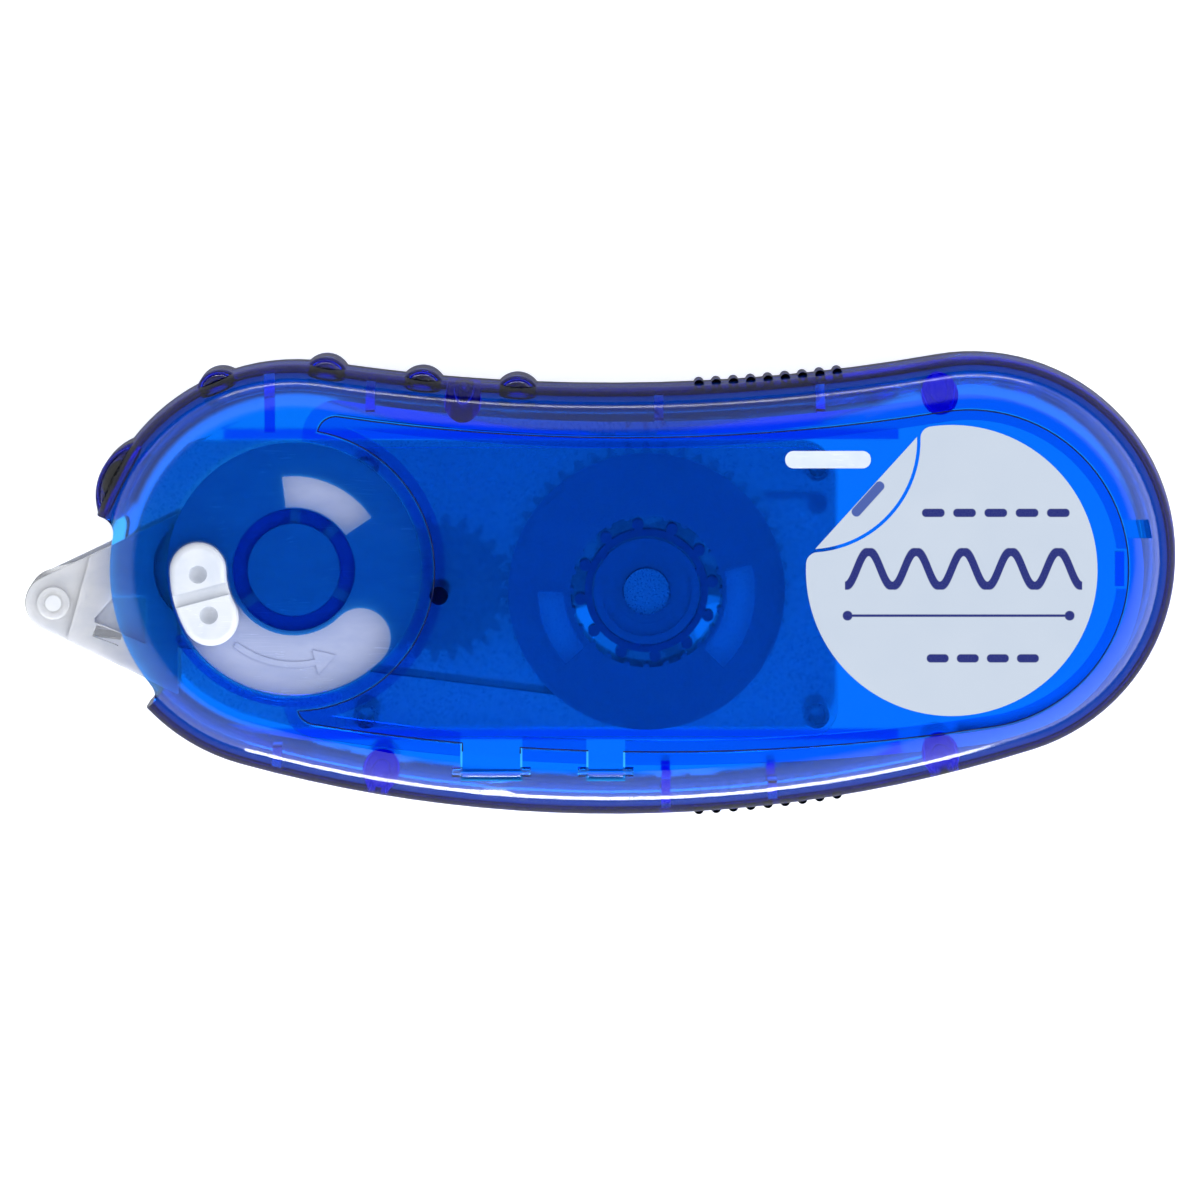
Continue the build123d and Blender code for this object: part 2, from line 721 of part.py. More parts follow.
def make_head_housing():
    """Two cheeks that hold the roller's axle, joined by the tape guide's wedge."""
    face = cheek_face(cheek_tip_radius, head_tip, cheek_back)
    rear = slab(face, cheek_low, cheek_low + cheek_thickness)
    front = slab(face, cheek_high - cheek_thickness, cheek_high)
    pad_side = Pos(-45.0, 0) * Rot(0, 0, -15.5) * Pos(20, 0) * Rectangle(40, 60)
    recess = make_face(
        Polyline((-43.9, -3.2), (-43.9, -2.8), (-42.3, -1.0), (-39.5, -1.0), (-39.5, -5.0), close=True)
    )
    pad = slab((face & pad_side) - recess, cheek_high, cheek_high + cheek_pad)
    peep = Pos(-42.8, -4.3, cheek_high) * Rot(0, 0, -21) * Box(2.4, 1.1, 4 * cheek_thickness)
    front, pad = front - peep, pad - peep
    housing = joined(front, pad)
    for level_low, level_high in ((cheek_low - 0.25, cheek_low), (cheek_high, cheek_high + 0.25)):
        housing = housing + tube(head_tip, roller_axle_radius, 1.4, level_low, level_high)
    wedge = make_face(
        Polyline((-44.4, -2.3), (-44.4, -0.5), (cheek_back - 0.4, 3.0), (cheek_back - 0.4, -4.1), close=True)
    )
    housing = joined(rear, slab(wedge, cheek_low, cheek_high), housing)
    for point in foot_points:
        housing = housing + rod(point, foot_radius, frame_low, cheek_low + 0.1)
    # where the dial's pinion comes when the head is drawn back
    pinion_place = (dial[0] - retraction, dial[1])
    pinion_room = rod(pinion_place, pitch_radius(pinion_teeth) + gear_module + 0.35, cover_low - 0.2, depth)
    return housing - pinion_room - rod(head_tip, roller_axle_radius, 0, depth)


def make_roller_axle():
    return rod(head_tip, roller_axle_radius, cheek_low - 0.25, cheek_high + 0.25)


def make_head_roller():
    body = tube(head_tip, roller_axle_radius + shaft_clearance, roller_radius, tape_low, tape_high)
    for level in (tape_low + 2.1, tape_low + 4.2, tape_low + 6.3):
        body = body - tube(head_tip, roller_radius - 0.2, roller_radius + 1, level - 0.2, level + 0.2)
    return body


tape_gap = 0.06
tape_inner = roller_radius + tape_gap


def cross_tangent(small, small_radius, large, large_radius, side):
    """The tangent points of a straight run along the same side of two round things."""
    apart = hypot(large[0] - small[0], large[1] - small[1])
    heading = degrees(atan2(large[1] - small[1], large[0] - small[0]))
    turn = heading + side * degrees(acos((small_radius - large_radius) / apart))
    return polar(small, small_radius, turn), polar(large, large_radius, turn)


def make_tape_run():
    """Tape from the supply roll, round the head roller and back to the take-up roll."""
    middle = tape_inner + tape_thickness / 2
    roll_gap = tape_gap + tape_thickness / 2
    low_start, low_end = cross_tangent(head_tip, middle, supply_axis, supply_roll_radius + roll_gap, -1)
    top_start, top_end = cross_tangent(head_tip, middle, take_up_axis, take_up_roll_radius + roll_gap, 1)
    path = Wire([
        Line(low_end, low_start),
        ThreePointArc(low_start, polar(head_tip, middle, 180), top_start),
        Line(top_start, top_end),
    ])
    ribbon = trace(path, tape_thickness)
    return slab(ribbon, tape_low, tape_high)


def make_pawl():
    """A springy pawl on the frame, whose tip lies beside the supply gear's teeth."""
    reach = pitch_radius(supply_teeth) + gear_module + 0.15
    tip = polar(supply_axis, reach, 38.0)
    root = (cover_right - 1.6, plate_top - 5.4)
    elbow = (cover_right - 2.4, plate_top - 1.0)
    arm = trace(Wire([Line(root, (root[0] - 0.2, tip[1])), Line((root[0] - 0.2, tip[1]), (tip[0] + 0.35, tip[1]))]), 0.5)
    pad = Pos(*root) * Circle(0.9)
    return slab(arm + pad, gear_low, gear_high) + rod(root, 0.9, frame_high, gear_low + 0.1)


# ---- reels --------------------------------------------------------------------------------------------


def make_supply_gear():
    """The drive gear, with a sleeve that turns on the frame's post."""
    body = gear(supply_axis, supply_teeth, supply_phase, gear_low, gear_high)
    sleeve_high = tape_high - 0.6
    sleeve_radius = supply_post_radius + 1.1
    root_radius = pitch_radius(supply_teeth) - 1.2 * gear_module
    body = body + rod(supply_axis, sleeve_radius, gear_high - 0.1, sleeve_high)
    body = body - rod(supply_axis, supply_post_radius + shaft_clearance, 0, depth)
    for index in range(6):
        place = polar(supply_axis, (sleeve_radius + root_radius) / 2, 30 + 60 * index)
        body = body - rod(place, 0.25 * (root_radius - sleeve_radius), 0, gear_high + 0.01)
    return body


def make_supply_spool():
    """The big core that the tape is wound on, with a wide front flange and inner clutch teeth."""
    inner = supply_core_radius - core_wall
    core = tube(supply_axis, inner, supply_core_radius, reel_low, reel_high)
    rear = tube(supply_axis, supply_core_radius - 0.1, supply_flange_radius - 1.2, reel_low, reel_low + flange_thickness)
    front_low = reel_high - flange_thickness
    front = tube(supply_axis, supply_core_radius - 0.1, supply_flange_radius, front_low, reel_high)
    for start in (128, 148, 330, 352, 20):
        window = arc_band(supply_axis, supply_flange_radius - 0.6, supply_flange_radius - 0.25, start, start + 12)
        front = front - slab(window, reel_high - 0.25, depth)
    spool = joined(core, rear, front)
    for index in range(24):
        place = polar(supply_axis, inner, 15 * index)
        spool = spool + rod(place, 0.28, tape_high - 4.0, reel_high - 0.1)
    return spool


def make_clutch_wheel():
    """The slip clutch: a lobed wheel on the gear's sleeve, springy against the spool's teeth."""
    grip = supply_post_radius + 1.1
    lobes = 12
    low, high = tape_high - 3.4, tape_high - 0.6
    wheel = tube(supply_axis, grip, grip + 0.8, low, high)
    rim = tube(supply_axis, 4.75, 5.35, low, high)
    wheel = wheel + rim
    for index in range(3):
        spoke = Pos(supply_axis[0], supply_axis[1], (low + high) / 2) * Rot(0, 0, 120 * index + 20)
        wheel = wheel + spoke * Pos(4.4, 0, 0) * Box(1.6, 0.6, high - low)
    for index in range(lobes):
        place = polar(supply_axis, 5.75, 7.5 + 30 * index)
        wheel = wheel + rod(place, 0.5, low, high)
    return wheel


def make_clutch_cap():
    """The flat cap that keeps the clutch on the sleeve."""
    low = tape_high - 0.6
    cap = tube(supply_axis, supply_post_radius + shaft_clearance, 4.6, low, low + 0.5)
    return cap + tube(supply_axis, 3.9, 4.6, low + 0.4, reel_high - 0.1)


def make_supply_tape():
    return tube(supply_axis, supply_core_radius, supply_roll_radius, tape_low, tape_high)


def make_take_up_gear():
    body = gear(take_up_axis, take_up_teeth, take_up_phase, gear_low, gear_high)
    return body - rod(take_up_axis, take_up_post_radius + shaft_clearance, 0, depth)


def make_take_up_spool():
    """The small reel for the spent backing tape."""
    inner = take_up_post_radius + shaft_clearance
    spool = tube(take_up_axis, take_up_core_radius - core_wall, take_up_core_radius, reel_low, reel_high)
    spool = spool + tube(take_up_axis, inner, take_up_flange_radius, reel_low, reel_low + flange_thickness)
    spool = spool + tube(take_up_axis, inner, inner + 0.7, reel_low, reel_high - 1.2)
    for index in range(4):
        rib = Pos(take_up_axis[0], take_up_axis[1], (reel_low + tape_high) / 2) * Rot(0, 0, 45 + 90 * index)
        spool = spool + rib * Pos(3.3, 0, 0) * Box(1.6, 0.5, tape_high - reel_low)
    return spool


def make_take_up_tape():
    return tube(take_up_axis, take_up_core_radius, take_up_roll_radius, tape_low, tape_high)


def make_idler_gear():
    body = gear(idler_axis, idler_teeth, idler_phase, gear_low, gear_high - 0.1)
    body = body + rod(idler_axis, 2.0, gear_low - 0.1, gear_high + 0.5)
    return body - rod(idler_axis, idler_axle_radius + shaft_clearance, 0, depth)


# ---- write the parts ------------------------------------------------------------------------------------

makers = {
    "rear_shell": make_rear_shell,
    "front_shell": make_front_shell,
    "refill_door": make_refill_door,
    "door_label": make_label,
    "dial": make_dial,
    "thumb_knob": make_knob,
    "cartridge_frame": make_cartridge_frame,
    "cartridge_cover": make_cartridge_cover,
    "idler_axle": make_idler_axle,
    "head_housing": make_head_housing,
    "roller_axle": make_roller_axle,
    "head_roller": make_head_roller,
    "tape_run": make_tape_run,
    "reverse_pawl": make_pawl,
    "supply_gear": make_supply_gear,
    "supply_spool": make_supply_spool,
    "clutch_wheel": make_clutch_wheel,
    "clutch_cap": make_clutch_cap,
    "supply_tape": make_supply_tape,
    "take_up_gear": make_take_up_gear,
    "take_up_spool": make_take_up_spool,
    "take_up_tape": make_take_up_tape,
    "idler_gear": make_idler_gear,
}

os.makedirs("parts", exist_ok=True)
for node, make in makers.items():
    export_step(make(), f"parts/{node}.step")
print(f"depth {depth:.2f}, head draws back {retraction:.2f}")
print(f"supply axis {supply_axis}, idler axis {idler_axis}, hinge {hinge_line:.3f} {hinge_level:.3f}")
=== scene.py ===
import json
from math import cos, pi, radians, sin

import bpy
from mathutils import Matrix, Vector


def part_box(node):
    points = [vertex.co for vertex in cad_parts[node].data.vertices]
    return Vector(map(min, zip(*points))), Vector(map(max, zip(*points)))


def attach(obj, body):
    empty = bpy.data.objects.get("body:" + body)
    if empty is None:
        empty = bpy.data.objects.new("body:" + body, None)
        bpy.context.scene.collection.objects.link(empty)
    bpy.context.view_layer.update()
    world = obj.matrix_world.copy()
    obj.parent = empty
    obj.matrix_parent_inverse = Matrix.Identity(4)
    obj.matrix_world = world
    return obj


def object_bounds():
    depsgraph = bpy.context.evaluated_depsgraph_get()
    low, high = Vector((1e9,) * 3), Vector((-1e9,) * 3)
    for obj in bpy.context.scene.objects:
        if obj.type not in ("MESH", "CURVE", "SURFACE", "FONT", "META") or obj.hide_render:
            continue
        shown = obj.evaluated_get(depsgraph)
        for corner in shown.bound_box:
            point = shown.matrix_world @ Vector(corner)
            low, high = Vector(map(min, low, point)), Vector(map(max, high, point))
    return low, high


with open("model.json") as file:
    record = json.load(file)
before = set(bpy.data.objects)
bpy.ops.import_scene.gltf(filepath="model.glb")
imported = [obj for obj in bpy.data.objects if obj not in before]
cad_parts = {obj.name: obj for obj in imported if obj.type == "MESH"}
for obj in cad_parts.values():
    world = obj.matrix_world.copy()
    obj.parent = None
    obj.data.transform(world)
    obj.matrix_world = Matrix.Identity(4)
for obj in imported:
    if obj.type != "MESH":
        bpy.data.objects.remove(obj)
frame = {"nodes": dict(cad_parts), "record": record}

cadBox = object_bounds()
millimetre = 0.001
hair = 1e-6  # points nearer than this are one point
joints = {joint["name"]: joint for joint in frame["record"]["behaviour"]["joints"]}
scene = bpy.context.scene


def middleOf(node):
    low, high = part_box(node)
    return (Vector(low) + Vector(high)) / 2


def topOf(node):
    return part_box(node)[1][2]


# a Wire is one socket of a material, which can be added, multiplied and so on
class Wire:
    def __init__(self, tree, socket):
        self.tree = tree
        self.socket = socket

    def add(self, kind, settings, values, output=0):
        node = self.tree.nodes.new(kind)
        for name, value in settings.items():
            if name == "stops":
                fillRamp(node.color_ramp, value)
            else:
                setattr(node, name, value)
        for key, value in values.items():
            if isinstance(value, Wire):
                self.tree.links.new(value.socket, node.inputs[key])
            else:
                node.inputs[key].default_value = value
        return Wire(self.tree, node.outputs[output])

    def math(self, operation, first, second=0.0):
        return self.add("ShaderNodeMath", {"operation": operation}, {0: first, 1: second})

    def __add__(self, other):
        return self.math("ADD", self, other)

    __radd__ = __add__

    def __sub__(self, other):
        return self.math("SUBTRACT", self, other)

    def __rsub__(self, other):
        return self.math("SUBTRACT", other, self)

    def __mul__(self, other):
        return self.math("MULTIPLY", self, other)

    __rmul__ = __mul__

    def __truediv__(self, other):
        return self.math("DIVIDE", self, other)

    def __pow__(self, other):
        return self.math("POWER", self, other)

    def __abs__(self):
        return self.math("ABSOLUTE", self)

    def most(self, other):
        return self.math("MAXIMUM", self, other)

    def least(self, other):
        return self.math("MINIMUM", self, other)

    def step(self, low, high, start=0.0, end=1.0):
        # start below low, end above high, smooth between
        return self.add("ShaderNodeMapRange", {"interpolation_type": "SMOOTHSTEP"}, {
            "Value": self, "From Min": low, "From Max": high, "To Min": start, "To Max": end})


def fillRamp(ramp, stops):
    while len(ramp.elements) < len(stops):
        ramp.elements.new(1.0)
    for element, (place, colour) in zip(ramp.elements, stops):
        element.position = place
        element.color = colour


def shade(red, green, blue):
    # a colour as a screen shows it, 0 to 255, made linear
    shares = [part / 255 for part in (red, green, blue)]
    linear = [share / 12.92 if share < 0.04045 else ((share + 0.055) / 1.055) ** 2.4
              for share in shares]
    return tuple(linear) + (1.0,)


def newMaterial(name):
    material = bpy.data.materials.new(name)
    material.use_nodes = True
    tree = material.node_tree
    tree.nodes.clear()
    place = Wire(tree, tree.nodes.new("ShaderNodeTexCoord").outputs["Object"])
    return material, place


def turned(place, centre, angle=0.0, scale=(1.0, 1.0, 1.0)):
    # coordinates measured from a point, turned about Z, and stretched
    moved = place.add("ShaderNodeVectorMath", {"operation": "SUBTRACT"}, {
        0: place, 1: tuple(centre)})
    return place.add("ShaderNodeMapping", {"vector_type": "POINT"}, {
        "Vector": moved, "Rotation": (0.0, 0.0, angle), "Scale": scale})


def parts(place):
    node = place.tree.nodes.new("ShaderNodeSeparateXYZ")
    place.tree.links.new(place.socket, node.inputs[0])
    return [Wire(place.tree, socket) for socket in node.outputs]


def lengthOf(across, up):
    return (across * across + up * up) ** 0.5


def cloud(place, size, detail=2.0, roughness=0.5):
    # soft noise, with features of a size in millimetres
    scale = 1 / (size * millimetre)
    return place.add("ShaderNodeTexNoise", {}, {
        "Vector": place, "Scale": scale, "Detail": detail, "Roughness": roughness})


def mixed(factor, first, second):
    return factor.add("ShaderNodeMix", {"data_type": "RGBA"}, {0: factor, 6: first, 7: second}, 2)


def scratches(place, size, angle, amount):
    # fine lines that run one way, 0 or 1, thin and far apart
    along = turned(place, (0.0, 0.0, 0.0), angle, (0.05, 1.0, 1.0))
    lines = cloud(along, size, 1.0)
    where = cloud(place, size * 12, 1.0).step(0.52, 0.62)
    return abs(lines - 0.5).step(0.0, amount, 1.0, 0.0) * where


def bumped(height, depth, strength):
    # a normal from a height of 0 to 1 and its depth in millimetres
    return height.add("ShaderNodeBump", {}, {
        "Height": height, "Distance": depth * millimetre, "Strength": strength})


def output(surface, volume=None):
    node = surface.tree.nodes.new("ShaderNodeOutputMaterial")
    surface.tree.links.new(surface.socket, node.inputs["Surface"])
    if volume:
        surface.tree.links.new(volume.socket, node.inputs["Volume"])


def onNode(node, material):
    target = frame["nodes"][node]
    target.data.materials.clear()
    target.data.materials.append(material)


blueCase = {
    "tint": (0.03, 0.745, 0.985, 1.0),  # what is left of each colour as light goes through
    "doorTint": (0.03, 0.705, 0.987, 1.0),
    "density": 2600.0,
    "coverDensity": 150.0,
    "skin": (0.97, 0.98, 1.0, 1.0),
    "rubbed": (0.80, 0.86, 0.95, 1.0),
    "peelDepth": 0.0022,  # millimetres, of the moulding's faint waves
}


def clearPlastic(name, tint, density, roughness, angle, haze):
    # takes colour out of light on its way through, and has smears and fine scratches
    material, place = newMaterial(name)
    mottle = cloud(place, 6.0, 3.0)
    peel = cloud(place, 2.2, 1.0)
    fine, coarse = scratches(place, 0.35, angle, 0.012), scratches(place, 0.5, angle + 1.1, 0.009)
    lines = fine.most(coarse)
    smear = cloud(turned(place, (0, 0, 0), angle, (0.3, 1.0, 1.0)), 3.5, 2.0).step(0.5, 0.8)
    surface = place.add("ShaderNodeBsdfPrincipled", {}, {
        "Base Color": mixed(lines * 0.15 + smear * 0.08, blueCase["skin"], blueCase["rubbed"]),
        "Roughness": roughness + mottle * (haze * 0.5) + smear * haze + lines * 0.08,
        "IOR": 1.49,
        "Transmission Weight": 1.0,
        "Normal": bumped(peel * 0.3 - lines * 0.3, blueCase["peelDepth"], 0.5),
    })
    volume = place.add("ShaderNodeVolumeAbsorption", {}, {"Color": tint, "Density": density})
    output(surface, volume)
    return material


def milkyPlastic(name, colour, cloudy, clearness, roughness, depth=0.0):
    # lets light through without a clear picture, and spreads it inside to a depth in millimetres
    material, place = newMaterial(name)
    flow = cloud(turned(place, (0, 0, 0), 0.4, (1.0, 2.4, 1.0)), 4.0, 3.0, 0.6)
    grain = cloud(place, 0.18, 2.0)
    scuff = scratches(place, 0.3, 0.7, 0.014)
    surface = place.add("ShaderNodeBsdfPrincipled", {}, {
        "Base Color": mixed(flow.step(0.3, 0.75), colour, cloudy),
        "Roughness": roughness + grain * 0.06 + scuff * 0.15,
        "IOR": 1.46,
        "Transmission Weight": clearness,
        "Subsurface Weight": 0.8 if depth else 0.0,
        "Subsurface Radius": (1.0, 1.0, 1.1),
        "Subsurface Scale": depth * millimetre,
        "Normal": bumped(grain * 0.2 + flow * 0.8 - scuff * 0.4, 0.005, 0.5),
    })
    output(surface)
    return material


paleWear = (0.7, 0.72, 0.76, 1.0)


def solidPlastic(name, colour, shadow, roughness, wear=paleWear, coat=0.0):
    # opaque moulded plastic, with fine grain, rubbed patches and a few scratches
    material, place = newMaterial(name)
    grain = cloud(place, 0.15, 2.0)
    patch = cloud(place, 3.0, 3.0, 0.6)
    scuff = scratches(place, 0.28, 0.3, 0.016).most(scratches(place, 0.4, 2.0, 0.012))
    base = mixed(patch.step(0.35, 0.75), colour, shadow)
    surface = place.add("ShaderNodeBsdfPrincipled", {}, {
        "Base Color": mixed(scuff * 0.35, base, wear),
        "Roughness": roughness + grain * 0.14 + scuff * 0.2 - patch * 0.08,
        "IOR": 1.5,
        "Coat Weight": coat,
        "Coat Roughness": 0.2,
        "Normal": bumped(grain * 0.6 + patch * 0.2 - scuff * 0.6, 0.014, 0.6),
    })
    output(surface)
    return material


def woundTape(name, centre, colour, edge, pitch, roughness, clearness):
    # the turns of a wound tape: rings on its flat sides, faint joins on its outside
    material, place = newMaterial(name)
    across = parts(turned(place, centre))
    distance = lengthOf(across[0], across[1])
    waver = cloud(place, 4.0, 2.0) * (0.25 * pitch * millimetre)
    turns = (distance + waver) / (pitch * millimetre)
    rings = abs(place.math("FRACT", turns) - 0.5) * 2
    broad = cloud(place.add("ShaderNodeCombineXYZ", {}, {"X": distance, "Z": 0.0}), 0.6, 3.0)
    speck = cloud(place, 0.25, 2.0)
    surface = place.add("ShaderNodeBsdfPrincipled", {}, {
        "Base Color": mixed(rings.step(0.1, 0.9) * 0.5 + broad * 0.5, edge, colour),
        "Roughness": roughness + speck * 0.2,
        "IOR": 1.45,
        "Transmission Weight": clearness,
        "Normal": bumped(rings * 0.7 + speck * 0.3, 0.02, 0.7),
    })
    output(surface)
    return material


# tint, density, roughness, the way that the scratches run, and haze
clearParts = {
    "rear_shell": ("rearShellBlue", blueCase["tint"], blueCase["density"], 0.06, 0.2, 0.05),
    "front_shell": ("frontShellBlue", blueCase["tint"], blueCase["density"], 0.075, 0.9, 0.05),
    "refill_door": ("doorBlue", blueCase["doorTint"], blueCase["density"], 0.045, 2.2, 0.05),
    "cartridge_cover": ("coverBlue", blueCase["tint"], blueCase["coverDensity"], 0.08, 1.4, 0.08),
}
# two colours, then how clear and how rough, and the depth that light spreads to
milkyParts = {
    "dial": ("dialMilk", shade(168, 176, 208), shade(158, 168, 203), 0.14, 0.22),
    "head_housing": ("headMilk", shade(199, 199, 202), shade(187, 189, 195), 0.1, 0.3, 1.5),
    "cartridge_frame": ("frameMilk", shade(250, 252, 255), shade(244, 248, 255), 0.6, 0.25),
    "supply_gear": ("supplyGearMilk", shade(252, 253, 255), shade(246, 250, 255), 0.85, 0.12),
    "take_up_gear": ("takeUpGearMilk", shade(252, 253, 255), shade(246, 250, 255), 0.85, 0.12),
    "idler_gear": ("idlerGearMilk", shade(250, 252, 255), shade(244, 248, 254), 0.85, 0.12),
    "supply_spool": ("supplySpoolMilk", shade(252, 253, 255), shade(246, 250, 255), 0.08, 0.25),
    "take_up_spool": ("takeUpSpoolMilk", shade(248, 250, 255), shade(240, 245, 253), 0.12, 0.25),
    "clutch_wheel": ("clutchMilk", shade(206, 214, 240), shade(190, 200, 234), 0.1, 0.3),
    "clutch_cap": ("clutchCapMilk", shade(250, 252, 255), shade(244, 248, 254), 0.08, 0.25),
    "head_roller": ("rollerMilk", shade(222, 222, 226), shade(206, 208, 214), 0.35, 0.4),
    "tape_run": ("backingPaper", shade(250, 250, 248), shade(240, 241, 243), 0.7, 0.2),
}
# colour, its shadow and roughness, then wear and coat where they differ
solidParts = {
    "thumb_knob": ("knobWhite", shade(194, 197, 205), shade(183, 188, 199), 0.3, paleWear, 0.2),
    "reverse_pawl": ("pawlWhite", shade(226, 230, 240), shade(208, 214, 230), 0.4),
    "idler_axle": ("axleDark", shade(22, 22, 40), shade(12, 12, 26), 0.35, (0.3, 0.3, 0.36, 1.0)),
    "roller_axle": ("rollerAxleWhite", shade(204, 205, 208), shade(190, 192, 198), 0.3),
}
# the roll's colour, the colour of its edges, then pitch, roughness and how clear
rolls = {
    "supply_tape": ("glueTapeTurns", Vector(joints["supply_spin"]["pos_m"]),
                    shade(252, 253, 255), shade(238, 244, 254), 0.16, 0.3, 0.15),
    "take_up_tape": ("backingTurns", Vector(joints["take_up_spin"]["pos_m"]),
                     shade(236, 236, 232), shade(196, 198, 204), 0.14, 0.45, 0.1),
}
for finish, table in ((clearPlastic, clearParts), (milkyPlastic, milkyParts),
                      (solidPlastic, solidParts), (woundTape, rolls)):
    for node, look in table.items():
        onNode(node, finish(*look))
print("finishes")

# sizes of the print in millimetres, from the middle of the label
labelLook = {
    "film": shade(166, 173, 183),
    "filmShadow": shade(160, 168, 180),
    "print": shade(6, 18, 92),
    "lightPrint": shade(44, 66, 132),
    "blur": 0.05,
    "rule": {"middle": (0.6, -3.9), "half": (9.6, 0.11), "corner": 0.1},
    "ruleEnds": {"sideways": (-9.0, 10.2), "half": (0.42, 0.42), "corner": 0.4},
    "barRows": (  # first bar, step, how many, half size
        ((-1.6, 5.0), 2.7, 5, (0.98, 0.36)),
        ((-1.2, -7.6), 2.6, 4, (0.95, 0.36)),
    ),
    "barCorner": 0.34,
    "wave": {"length": 4.1, "height": 1.45, "up": 0.15, "line": (0.31, 0.4),
             "middle": 1.025, "half": (10.22, 10.29)},
    "foldBar": {"place": (-6.8, 5.8), "angle": -48,
                "middle": (0.0, 0.6), "half": (1.9, 0.42), "corner": 0.4},
}


def stripe(across, up, middle, half, corner):
    # 1 inside a rounded bar
    besideX = (abs(across - middle[0]) - (half[0] - corner)).most(0.0)
    besideY = (abs(up - middle[1]) - (half[1] - corner)).most(0.0)
    distance = lengthOf(besideX, besideY)
    return distance.step(corner - labelLook["blur"], corner + labelLook["blur"], 1.0, 0.0)


def waveOnLabel(x, y):
    wave = labelLook["wave"]
    turn = 2 * pi / wave["length"]
    rise = x.math("SINE", x * turn)
    slope = x.math("COSINE", x * turn) * (wave["height"] * turn)
    gap = abs(y - wave["up"] - rise * wave["height"]) / ((slope * slope + 1.0) ** 0.5)
    within = abs(x - wave["middle"]).step(*wave["half"], 1.0, 0.0)
    return gap.step(*wave["line"], 1.0, 0.0) * within


def labelFilm():
    material, place = newMaterial("labelFilm")
    middle = middleOf("door_label")
    perMillimetre = (1 / millimetre,) * 3
    x, y = parts(turned(place, middle, 0.0, perMillimetre))[:2]
    rule, ends = labelLook["rule"], labelLook["ruleEnds"]
    marks = stripe(x, y, rule["middle"], rule["half"], rule["corner"])
    for sideways in ends["sideways"]:
        dot = stripe(x, y, (sideways, rule["middle"][1]), ends["half"], ends["corner"])
        marks = marks.most(dot)
    for (start, up), step, count, half in labelLook["barRows"]:
        for index in range(count):
            bar = stripe(x, y, (start + step * index, up), half, labelLook["barCorner"])
            marks = marks.most(bar)
    marks = marks.most(waveOnLabel(x, y))
    fold = labelLook["foldBar"]
    foldMiddle = middle + Vector(fold["place"] + (0.0,)) * millimetre
    along, over = parts(turned(place, foldMiddle, radians(fold["angle"]), perMillimetre))[:2]
    small = stripe(along, over, fold["middle"], fold["half"], fold["corner"])
    fibre = cloud(place, 0.12, 2.0)
    patch = cloud(place, 5.0, 2.0)
    scuff = scratches(place, 0.3, 0.5, 0.014)
    film = mixed(patch, labelLook["film"], labelLook["filmShadow"])
    inked = mixed(marks * (0.93 + fibre * 0.1).least(1.0), film, labelLook["print"])
    surface = place.add("ShaderNodeBsdfPrincipled", {}, {
        "Base Color": mixed(small * 0.95, inked, labelLook["lightPrint"]),
        "Roughness": 0.34 + fibre * 0.12 + marks * 0.06 + scuff * 0.2,
        "IOR": 1.3,
        "Normal": bumped(fibre * 0.5 + marks * 0.5, 0.008, 0.5),
    })
    output(surface)
    return material


onNode("door_label", labelFilm())
print("label")


def startPiece():
    # nothing else may be selected when an operator runs
    if bpy.context.object and bpy.context.object.mode == "EDIT":
        bpy.ops.object.mode_set(mode="OBJECT")
    bpy.ops.object.select_all(action="DESELECT")


def endPiece(piece, name, body, material, angle=40):
    startPiece()
    piece.name = name
    piece.data.name = name
    piece.select_set(True)
    bpy.context.view_layer.objects.active = piece
    bpy.ops.object.transform_apply(location=True, rotation=True, scale=True)
    bpy.ops.object.shade_smooth_by_angle(angle=radians(angle))
    piece.data.materials.clear()
    piece.data.materials.append(material)
    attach(piece, body)
    startPiece()


# a thin dark bead round the door's rim: painted shadow for the gap between the door and the shell
doorGapShade = {  # millimetres
    "radius": 0.06,
    "below": 0.12,  # under the door's front face
    "bareArm": 1.6,  # above the hinge's line, where there is no seal
    "merge": 0.08,
    "colour": shade(10, 12, 70),
    "shadow": shade(6, 8, 50),
    "wear": (0.1, 0.12, 0.3, 1.0),
}


def paintGapShadeRoundDoor():
    # a cut through a copy of the door gives the line that the bead follows; the thin dark bead is
    # a painted shadow line that stands in for the dark gap between the door and the shell
    startPiece()
    door = frame["nodes"]["refill_door"]
    bead = door.copy()
    bead.data = door.data.copy()
    bead.parent = None
    for key in list(bead.keys()):
        del bead[key]
    scene.collection.objects.link(bead)
    bead.select_set(True)
    bpy.context.view_layer.objects.active = bead
    bpy.ops.object.mode_set(mode="EDIT")
    bpy.ops.mesh.select_all(action="SELECT")
    bpy.ops.mesh.remove_doubles(threshold=hair)
    level = topOf("refill_door") - doorGapShade["below"] * millimetre
    bpy.ops.mesh.bisect(
        plane_co=(0, 0, level), plane_no=(0, 0, 1), clear_inner=True, clear_outer=True)
    bpy.ops.mesh.select_all(action="SELECT")
    bpy.ops.mesh.remove_doubles(threshold=doorGapShade["merge"] * millimetre)
    bpy.ops.mesh.select_mode(type="VERT")
    bpy.ops.mesh.select_all(action="DESELECT")
    bpy.ops.object.mode_set(mode="OBJECT")
    lowest = joints["door_hinge"]["pos_m"][1] + doorGapShade["bareArm"] * millimetre
    for vertex in bead.data.vertices:
        vertex.select = vertex.co.y < lowest
    bpy.ops.object.mode_set(mode="EDIT")
    bpy.ops.mesh.delete(type="VERT")
    bpy.ops.object.mode_set(mode="OBJECT")
    bpy.ops.object.convert(target="CURVE")
    bead = bpy.context.object
    bead.data.bevel_depth = doorGapShade["radius"] * millimetre
    bead.data.bevel_resolution = 1
    bead.data.use_fill_caps = True
    bpy.ops.object.convert(target="MESH")
    bead = bpy.context.object
    # the bead's dark navy is painted shadow, not the colour of a real seal
    navy = solidPlastic("gapShadeNavy", doorGapShade["colour"], doorGapShade["shadow"], 0.4, doorGapShade["wear"])
    endPiece(bead, "door_gap_shade", "door", navy, 60)
    print("door gap shade", len(bead.data.polygons))


